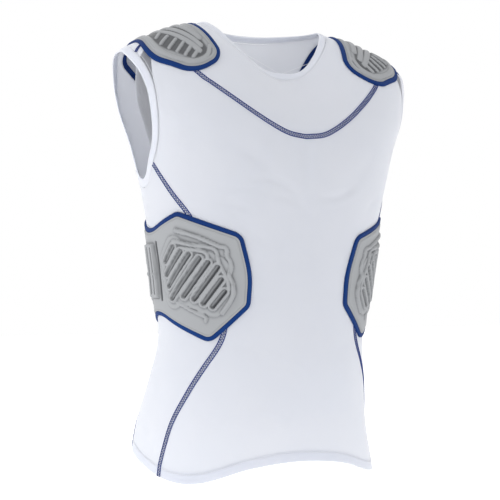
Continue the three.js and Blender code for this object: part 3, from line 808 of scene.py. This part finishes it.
def foam_look():
    """Node group: fine grain of moulded foam, with the mesh print of its slot floors by a mask, and the foam's
    colour mixed towards a painted shade colour by another mask.
    """
    group = bpy.data.node_groups.new("foam_look", "ShaderNodeTree")
    group.interface.new_socket("Painted Shade", in_out="INPUT", socket_type="NodeSocketFloat")
    group.interface.new_socket("Print", in_out="INPUT", socket_type="NodeSocketFloat")
    group.interface.new_socket("Colour", in_out="INPUT", socket_type="NodeSocketColor")
    group.interface.new_socket("Painted Shade Colour", in_out="INPUT", socket_type="NodeSocketColor")
    group.interface.new_socket("Colour", in_out="OUTPUT", socket_type="NodeSocketColor")
    group.interface.new_socket("Normal", in_out="OUTPUT", socket_type="NodeSocketVector")
    nodes, links = group.nodes, group.links
    given = nodes.new("NodeGroupInput")
    out = nodes.new("NodeGroupOutput")
    uv = nodes.new("ShaderNodeUVMap")
    uv.uv_map = "UVMap"
    coordinates = nodes.new("ShaderNodeTexCoord")
    grain = nodes.new("ShaderNodeTexNoise")
    grain.inputs["Scale"].default_value = 1600
    grain.inputs["Detail"].default_value = 2
    mesh_print = nodes.new("ShaderNodeTexVoronoi")
    mesh_print.inputs["Scale"].default_value = 700
    mesh_print.inputs["Randomness"].default_value = 0.15
    print_part = nodes.new("ShaderNodeMath")
    print_part.operation = "MULTIPLY"
    fine_part = nodes.new("ShaderNodeMath")
    fine_part.operation = "MULTIPLY"
    fine_part.inputs[1].default_value = 0.35
    together = nodes.new("ShaderNodeMath")
    together.operation = "ADD"
    mix = nodes.new("ShaderNodeMix")
    mix.data_type = "RGBA"
    bump = nodes.new("ShaderNodeBump")
    bump.inputs["Distance"].default_value = 0.0003
    bump.inputs["Strength"].default_value = 0.6
    links.new(uv.outputs["UV"], mesh_print.inputs["Vector"])
    links.new(coordinates.outputs["Object"], grain.inputs["Vector"])
    links.new(mesh_print.outputs["Distance"], print_part.inputs[0])
    links.new(given.outputs["Print"], print_part.inputs[1])
    links.new(grain.outputs["Fac"], fine_part.inputs[0])
    links.new(print_part.outputs["Value"], together.inputs[0])
    links.new(fine_part.outputs["Value"], together.inputs[1])
    links.new(together.outputs["Value"], bump.inputs["Height"])
    links.new(given.outputs["Painted Shade"], mix.inputs["Factor"])
    links.new(given.outputs["Colour"], mix.inputs["A"])
    links.new(given.outputs["Painted Shade Colour"], mix.inputs["B"])
    links.new(mix.outputs["Result"], out.inputs["Colour"])
    links.new(bump.outputs["Normal"], out.inputs["Normal"])
    return group


def foam(name):
    material = bpy.data.materials.new(name)
    material.use_nodes = True
    nodes, links = material.node_tree.nodes, material.node_tree.links
    surface_node = nodes["Principled BSDF"]
    # The attribute read here holds the painted shade of the pad's slot floors, slit, groove and hollows.
    painted_shade = nodes.new("ShaderNodeAttribute")
    painted_shade.attribute_name = "painted_shade"
    mesh_print = nodes.new("ShaderNodeAttribute")
    mesh_print.attribute_name = "mesh_print"
    look = nodes.new("ShaderNodeGroup")
    look.node_tree = foam_look()
    look.inputs["Colour"].default_value = (0.335, 0.345, 0.36, 1)
    # Near black painted shade, mixed in by that attribute.
    look.inputs["Painted Shade Colour"].default_value = (0.055, 0.058, 0.064, 1)
    surface_node.inputs["Roughness"].default_value = 0.55
    surface_node.inputs["Specular IOR Level"].default_value = 0.4
    links.new(painted_shade.outputs["Fac"], look.inputs["Painted Shade"])
    links.new(mesh_print.outputs["Fac"], look.inputs["Print"])
    links.new(look.outputs["Colour"], surface_node.inputs["Base Color"])
    links.new(look.outputs["Normal"], surface_node.inputs["Normal"])
    return material


GREY_FOAM = foam("grey_foam")


class FlatPattern:
    """Lays flat pattern points over the cloth by smooth steps between walked lattice places."""

    def __init__(self, across, up, places):
        self.low = np.array([across[0], up[0]])
        self.step = np.array([across[1] - across[0], up[1] - up[0]])
        self.places = places

    def place(self, flat):
        column, row = np.moveaxis((flat - self.low) / self.step, -1, 0)
        first = np.clip(np.floor(column).astype(int), 1, self.places.shape[1] - 3)
        level = np.clip(np.floor(row).astype(int), 1, self.places.shape[0] - 3)
        across = self.weights(column - first)
        up = self.weights(row - level)
        total = np.zeros((*flat.shape[:-1], 2))
        for i in range(4):
            for j in range(4):
                total += self.places[level + i - 1, first + j - 1] * (up[i] * across[j])[..., None]
        return total

    @staticmethod
    def weights(t):
        return (0.5 * (-t + 2 * t**2 - t**3), 0.5 * (2 - 5 * t**2 + 3 * t**3),
                0.5 * (t + 4 * t**2 - 3 * t**3), 0.5 * (-t**2 + t**3))


def outline_distance(flat, outline):
    """Distance of flat points inside an outline to it."""
    tree = KDTree(len(outline))
    for k, (x, y) in enumerate(outline):
        tree.insert((x, y, 0), k)
    tree.balance()
    return np.array([tree.find((x, y, 0))[2] for x, y in flat.reshape(-1, 2)]).reshape(flat.shape[:-1])


def pad_grid(sides, columns, rows, distance):
    """Flat grid of a pad inside its binding."""
    edge = pad_outline(sides, (rows, columns, rows, columns), distance)
    corner = (0, rows, rows + columns, 2 * rows + columns)
    first, second = edge[corner[0]:corner[1] + 1], edge[corner[1]:corner[2] + 1]
    third, fourth = edge[corner[2]:corner[3] + 1], np.vstack([edge[corner[3]:], edge[:1]])
    return fill(second, fourth[::-1], first[::-1], third)


def foam_pad(name, flat, pattern, relief, outline):
    """Both sides' pads from one flat grid: a relief over a plain underside."""
    to_edge = outline_distance(flat, outline)
    height, painted_shade, mesh_print = relief(flat, to_edge)
    place = pattern.place(flat)
    top = on_cloth(place, height + LIFT)
    under = on_cloth(place, LIFT)
    for side, sign in (("left", 1), ("right", -1)):
        outer, inner, uv = top * [sign, 1, 1], under * [sign, 1, 1], flat * MM
        # Masks stored on the points: the painted shade and the mesh print.
        masks = {"painted_shade": painted_shade, "mesh_print": mesh_print}
        a, b, normal = outer[0, 1] - outer[0, 0], outer[1, 0] - outer[0, 0], outer[0, 0] - inner[0, 0]
        if np.dot(np.cross(a, b), normal) < 0:
            outer, inner, uv = outer[:, ::-1], inner[:, ::-1], uv[:, ::-1]
            masks = {kind: mask[:, ::-1] for kind, mask in masks.items()}
        made = shell(f"{name}_{side}", outer, inner, uv, GREY_FOAM)
        for kind, mask in masks.items():
            layer = made.data.attributes.new(kind, "FLOAT", "POINT")
            layer.data.foreach_set("value", np.tile(mask.ravel(), 2))
        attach(made, "root")
        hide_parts(f"{name}_{side}")


rib_corners = [RIB_TOP, *RIB_HALF, RIB_BOTTOM, *[(-a, u, r, e) for a, u, r, e in RIB_HALF[::-1]]]
rib_sides = pattern_sides(rib_corners)
rib_across = np.arange(-162, 163, 6.0)
rib_up = np.arange(-102, 97, 6.0)
rib_starts = walk(RIB_MIDDLE, upward, rib_up)
rib_places = walk(rib_starts[:, None] + np.zeros((1, len(rib_across), 1)), keeping(2),
                  -np.broadcast_to(rib_across, (len(rib_up), len(rib_across))))
rib_pattern = FlatPattern(rib_across, rib_up, rib_places)
rib_counts = (RIB_GRID["rows"], RIB_GRID["columns"], RIB_GRID["rows"], RIB_GRID["columns"])
rib_flat = pad_grid(rib_sides, RIB_GRID["columns"], RIB_GRID["rows"], -TRIM_WIDTH / 2 + 0.1)
foam_pad("rib_pad", rib_flat, rib_pattern, rib_relief, pad_outline(rib_sides, rib_counts, 0))

# Shoulder pads
# The same moulded foam, waisted over the ridge of the shoulder, with long bars over the ridge, short
# slanting ribs along the arm side and a rounded border inside the binding.
SHOULDER_CORNERS = [
    (-31, 0, 200, False), (-52, 94, 20, True), (-7, 111, 38, False), (51, 57, 55, True), (47, 0, 200, False),
    (46, -52, 40, True), (-5, -108, 38, False), (-50, -94, 20, True),
]
SHOULDER_MIDDLE = np.array([90, 10.12])
SHOULDER_GRID = {"columns": 210, "rows": 100}
SHOULDER_BORDER = [(36, 0), (38, 25), (36, 49), (27, 67), (9, 84), (-11, 94), (-29, 90), (-37, 76)]
SHOULDER_BARS = [
    [(0, 0), (-1, 21), (-24, 72)], [(13, 0), (12, 22), (-20, 80)], [(-14, 0), (-15, 22), (-27, 58)],
]
SHOULDER_RIBS = [
    [(29, 34), (20, 24)], [(28, 49), (14, 38)], [(20, 61), (6, 50)], [(11, 71), (-2, 60)],
    [(1, 80), (-10, 70)], [(-9, 87), (-18, 79)],
]


def shoulder_relief(flat, to_edge):
    """Height of the shoulder pad's face in its flat pattern, its painted shade in the low places and hollows, and
    where the mesh print lies.
    """
    half = np.stack([flat[..., 0], np.abs(flat[..., 1])], -1)
    web = WEB - 0.6 + 0.6 * smooth(to_edge, 5.4, 6.4)
    bars = [ridge(half, bar, 4.2, 2.2) for bar in SHOULDER_BARS]
    ribs = [ridge(half, rib, 2.7, 2.2) for rib in SHOULDER_RIBS]
    border = ridge(half, SHOULDER_BORDER, 3.2, 1.9)
    rim = 1.0 * smooth(to_edge, 6.2, 7.4) * (1 - smooth(to_edge, 8.6, 9.8))
    height = web + np.max([*bars, *ribs, border, rim], axis=0)
    # Painted shade in the low places away from the edge and in the hollows by their depth; the low places also
    # carry the mesh print.
    floor = (1 - smooth(height - web, 0, 0.8)) * smooth(to_edge, 13, 17)
    return height, np.maximum(0.85 * floor, 0.55 * cavity(height)), 0.6 * floor


shoulder_sides = pattern_sides(SHOULDER_CORNERS)
shoulder_across = np.arange(-72, 79, 6.0)
shoulder_up = np.arange(-126, 127, 6.0)
shoulder_starts = walk(SHOULDER_MIDDLE, upward, -shoulder_across)
shoulder_places = walk(shoulder_starts[None] + np.zeros((len(shoulder_up), 1, 1)), keeping(0),
                       np.broadcast_to(shoulder_up[:, None], (len(shoulder_up), len(shoulder_across))))
shoulder_pattern = FlatPattern(shoulder_across, shoulder_up, shoulder_places)
shoulder_counts = (SHOULDER_GRID["rows"], SHOULDER_GRID["columns"]) * 2
shoulder_flat = pad_grid(shoulder_sides, SHOULDER_GRID["columns"], SHOULDER_GRID["rows"], -TRIM_WIDTH / 2 + 0.1)
foam_pad("shoulder_pad", shoulder_flat, shoulder_pattern, shoulder_relief,
         pad_outline(shoulder_sides, shoulder_counts, 0))

# Bindings of the pads
# Royal blue woven tape folded over each pad's edge and stitched through the shirt, flat with
# rounded shoulders.
TRIM_PROFILE = np.array([
    (-3.0, 0.1), (-3.0, 1.7), (-2.7, 2.5), (-2.0, 2.95), (-1.0, 3.05), (0, 3.05), (1.0, 3.05),
    (2.0, 2.9), (2.7, 2.3), (3.0, 1.4), (3.0, 0.1),
])


def woven_blue(name):
    material = bpy.data.materials.new(name)
    material.use_nodes = True
    nodes, links = material.node_tree.nodes, material.node_tree.links
    surface_node = nodes["Principled BSDF"]
    look = nodes.new("ShaderNodeGroup")
    look.node_tree = KNIT_LOOK
    look.inputs["Height"].default_value = 1.0
    look.inputs["Colour"].default_value = (0.0005, 0.024, 0.135, 1)
    look.inputs["Shade"].default_value = (0.0008, 0.034, 0.17, 1)
    surface_node.inputs["Roughness"].default_value = 0.7
    surface_node.inputs["Sheen Weight"].default_value = 0.03
    surface_node.inputs["Specular IOR Level"].default_value = 0.18
    links.new(look.outputs["Colour"], surface_node.inputs["Base Color"])
    links.new(look.outputs["Normal"], surface_node.inputs["Normal"])
    return material


BLUE_TAPE = woven_blue("blue_tape")


BACKING = 0.6
BACKING_SHARE = 0.18


def binding(name, sides, counts, pattern):
    loop = pad_outline(sides, counts, 0)
    along = unit(direction_of(loop, closed=True))
    away = np.stack([-along[:, 1], along[:, 0]], -1)
    profile = looped(TRIM_PROFILE)
    flat = looped(loop)[:, None] + looped(away)[:, None] * profile[None, :, :1]
    place = pattern.place(flat)
    points = on_cloth(place, np.broadcast_to(profile[:, 1], flat.shape[:2]))
    backing = on_cloth(place, np.broadcast_to(profile[:, 1] * BACKING_SHARE - KNIT - BACKING, flat.shape[:2]))
    length = np.linspace(0, np.linalg.norm(np.diff(loop, axis=0), axis=1).sum(), len(flat)) * MM
    girth = np.linspace(0, 0.012, len(profile))
    uv = np.stack(np.meshgrid(girth, length), -1)
    for side, sign in (("left", 1), ("right", -1)):
        made = merged(f"{name}_{side}", [(points * [sign, 1, 1], uv)], BLUE_TAPE)
        inside = merged(f"{name}_backing_{side}", [(backing * [sign, 1, 1], uv)], BLUE_TAPE)
        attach(inside, "root")
        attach(made, "root")
        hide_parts(f"{name}_{side}")


binding("rib_trim", rib_sides, (60, 150, 60, 150), rib_pattern)
binding("shoulder_trim", shoulder_sides, (56, 110, 56, 110), shoulder_pattern)

# Flatlock seams
# The panels meet edge to edge under a flat cover of blue thread: a run of chain stitch along each
# edge and a ladder of crossings between, over the white knit, outside and inside.
SEAM_WIDTH = 6.2
SHOULDER_SEAM_WIDTH = 3.2
LADDER_PITCH = 3.4


def blue_thread(name, colour):
    material = bpy.data.materials.new(name)
    material.use_nodes = True
    surface_node = material.node_tree.nodes["Principled BSDF"]
    surface_node.inputs["Base Color"].default_value = (*colour, 1)
    surface_node.inputs["Roughness"].default_value = 0.6
    surface_node.inputs["Specular IOR Level"].default_value = 0.25
    return material


BLUE_THREAD = blue_thread("blue_thread", (0.001, 0.024, 0.19))
WHITE_THREAD = blue_thread("white_thread", (0.74, 0.75, 0.80))


def cord_patch(points, normal, radius, sides=5, closed=False):
    """Round thread along a run of points, closed at its ends."""
    along = unit(direction_of(points, closed))
    aside = unit(np.cross(along, normal))
    above = np.cross(aside, along)
    turn = np.linspace(0, 2 * math.pi, sides + 1)[None, :, None]
    ring = points[:, None] + radius * (np.cos(turn) * aside[:, None] + np.sin(turn) * above[:, None])
    ring[:, -1] = ring[:, 0]
    if closed:
        ring = looped(ring)
    else:
        first = np.broadcast_to(points[:1, None], ring[:1].shape)
        last = np.broadcast_to(points[-1:, None], ring[:1].shape)
        ring = np.concatenate([first, ring, last])
    return ring, np.zeros((*ring.shape[:2], 2))


def even_run(run, step, closed=False):
    """A run resampled about every step millimetres."""
    if closed:
        run = looped(run)
    points = surface(run)
    length = np.linalg.norm(np.diff(points, axis=0), axis=1).sum()
    count = max(4, round(length / step))
    even = evenly(run, points, count)
    return (even[:-1] if closed else even), length / count


def flatlock(run, height, width):
    """Edge threads and ladder of a seam along a run of places, at a height over the cloth."""
    even, step = even_run(run, LADDER_PITCH / 4)
    sweep = np.arange(len(even)) % 4
    offset = np.array([-0.42, 0.1, 0.42, -0.1])[sweep] * width
    direction = direction_of(surface(even), closed=False)
    ladder = walk(even, left_of(direction), offset)
    edge = np.full(len(even), width / 2 - 0.4)
    patches = []
    left = walk(even, left_of(direction), edge)[::2]
    right = walk(even, left_of(direction), -edge)[::2]
    for place, radius, extra in ((ladder, 0.42, 0), (left, 0.62, 0.06), (right, 0.62, 0.06)):
        wave = 0.12 * np.cos(np.arange(len(place)) * math.pi)
        points = on_cloth(place, height + extra + wave)
        patches.append(cord_patch(points, slopes(place)[2], radius))
    return patches


yoke_places = pick(front_grid, yoke_crossing(GAP / 2)[None])[0][in_yoke]
seam_runs = {
    "yoke_seam": yoke_places,
    "front_seam_left": front_seam, "front_seam_right": mirrored(front_seam),
    "rear_seam_left": rear_seam, "rear_seam_right": mirrored(rear_seam),
    "shoulder_seam_left": shoulder_seam, "shoulder_seam_right": mirrored(shoulder_seam),
}
for name, run in seam_runs.items():
    width = SHOULDER_SEAM_WIDTH if name.startswith("shoulder") else SEAM_WIDTH
    patches = flatlock(run, 0.15, width) + flatlock(run, -KNIT - 0.15, width)
    made = merged(name, patches, BLUE_THREAD, sharp=80)
    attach(made, "root")

# Stitching
# White cover stitch in two rows round the hem and one beside each band, and the blue rows that hold
# the pads on, seen on the inside of the shirt. Each is one thread that dives in and out.
STITCH_PITCH = 3.0


def stitch_row(run, height, radius, closed=True, inside=False):
    """One thread along a run of places, out for most of each stitch and in the cloth between."""
    even, step = even_run(run, STITCH_PITCH / 5, closed)
    wave = np.array([0.0, 0.35, 0.35, 0.0, -0.9])[np.arange(len(even)) % 5] * radius
    points = on_cloth(even, height - wave if inside else height + wave)
    return cord_patch(points, slopes(even)[2], radius, sides=4, closed=closed)


def stitching(name, patches, material):
    made = merged(name, patches, material, sharp=80)
    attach(made, "root")


def hem_run(row):
    """The whole hem at one row of the panels, once round the body."""
    right_side = mirrored(side_grid[row])[::-1] + [360, 0]
    return np.concatenate([front_grid[row], side_grid[row], back_grid[row], right_side])


stitching("hem_stitches", [stitch_row(hem_run(row), 0.06, 0.28) for row in (6, 7)], WHITE_THREAD)
neck_row = beside(neck_edge, -NECK_BAND - 2, closed=True)
armhole_row = beside(armhole_edge, -ARMHOLE_BAND - 2, closed=True)
armhole_patches = [stitch_row(armhole_row, 0.06, 0.26)]
stitching("neck_stitches", [stitch_row(neck_row, 0.06, 0.26)], WHITE_THREAD)
stitching("armhole_stitches", armhole_patches + [mirror_patch(patch) for patch in armhole_patches],
          WHITE_THREAD)
pad_rows = [
    stitch_row(pattern.place(pad_outline(sides, counts, offset)), -KNIT - 0.7, 0.4, inside=True)
    for sides, counts, pattern in ((rib_sides, (60, 150, 60, 150), rib_pattern),
                                   (shoulder_sides, (56, 110, 56, 110), shoulder_pattern))
    for offset in (-1.6, 1.6)
]
stitching("pad_stitches", pad_rows + [mirror_patch(patch) for patch in pad_rows], BLUE_THREAD)

# Camera, floor and light
# A plain pale floor and three soft lights, the camera where the photo was taken from.
camera_data = bpy.data.cameras.new("camera")
camera_data.lens = 94
camera_data.sensor_width = 36
camera = bpy.data.objects.new("camera", camera_data)
camera.location = (-0.834, -1.561, -0.338)
pitch = math.radians(1.15)
look = Vector((0.4648 * math.cos(pitch), 0.8854 * math.cos(pitch), math.sin(pitch)))
camera.rotation_euler = look.to_track_quat("-Z", "Y").to_euler()
bpy.context.scene.collection.objects.link(camera)
bpy.context.scene.camera = camera
bpy.context.scene.view_settings.view_transform = "Standard"

bm = bmesh.new()
bmesh.ops.create_grid(bm, x_segments=1, y_segments=1, size=6)
floor_mesh = bpy.data.meshes.new("floor")
bm.to_mesh(floor_mesh)
bm.free()
floor = bpy.data.objects.new("floor", floor_mesh)
floor.location = (0, 0, -0.70)
bpy.context.scene.collection.objects.link(floor)
pale = bpy.data.materials.new("pale_floor")
pale.use_nodes = True
pale.node_tree.nodes["Principled BSDF"].inputs["Base Color"].default_value = (0.96, 0.965, 0.97, 1)
pale.node_tree.nodes["Principled BSDF"].inputs["Roughness"].default_value = 0.9
pale.node_tree.nodes["Principled BSDF"].inputs["Emission Color"].default_value = (1, 1, 1, 1)
pale.node_tree.nodes["Principled BSDF"].inputs["Emission Strength"].default_value = 0.35
floor_mesh.materials.append(pale)


def soft_light(name, location, size, power, target=(0, 0, -0.3)):
    data = bpy.data.lights.new(name, "AREA")
    data.size = size
    data.energy = power
    made = bpy.data.objects.new(name, data)
    made.location = location
    made.rotation_euler = (Vector(target) - Vector(location)).to_track_quat("-Z", "Y").to_euler()
    bpy.context.scene.collection.objects.link(made)
    return made


soft_light("key", (-2.4, -0.3, 0.9), 0.5, 13)
soft_light("fill", (1.6, -2.4, 0.6), 2.0, 2)
soft_light("back", (0.8, 2.0, 1.0), 1.4, 6)
world = bpy.data.worlds.new("studio")
world.use_nodes = True
world_nodes, world_links = world.node_tree.nodes, world.node_tree.links
direction = world_nodes.new("ShaderNodeTexCoord")
parts = world_nodes.new("ShaderNodeSeparateXYZ")
behind = world_nodes.new("ShaderNodeMapRange")
behind.inputs["From Min"].default_value = -0.5
behind.inputs["From Max"].default_value = 0.3
behind.inputs["To Min"].default_value = 0.84
behind.inputs["To Max"].default_value = 1.0
world_links.new(direction.outputs["Generated"], parts.inputs["Vector"])
world_links.new(parts.outputs["Y"], behind.inputs["Value"])
world_links.new(behind.outputs["Result"], world_nodes["Background"].inputs["Strength"])
world_nodes["Background"].inputs["Color"].default_value = (1.0, 1.0, 1.0, 1)
bpy.context.scene.world = world
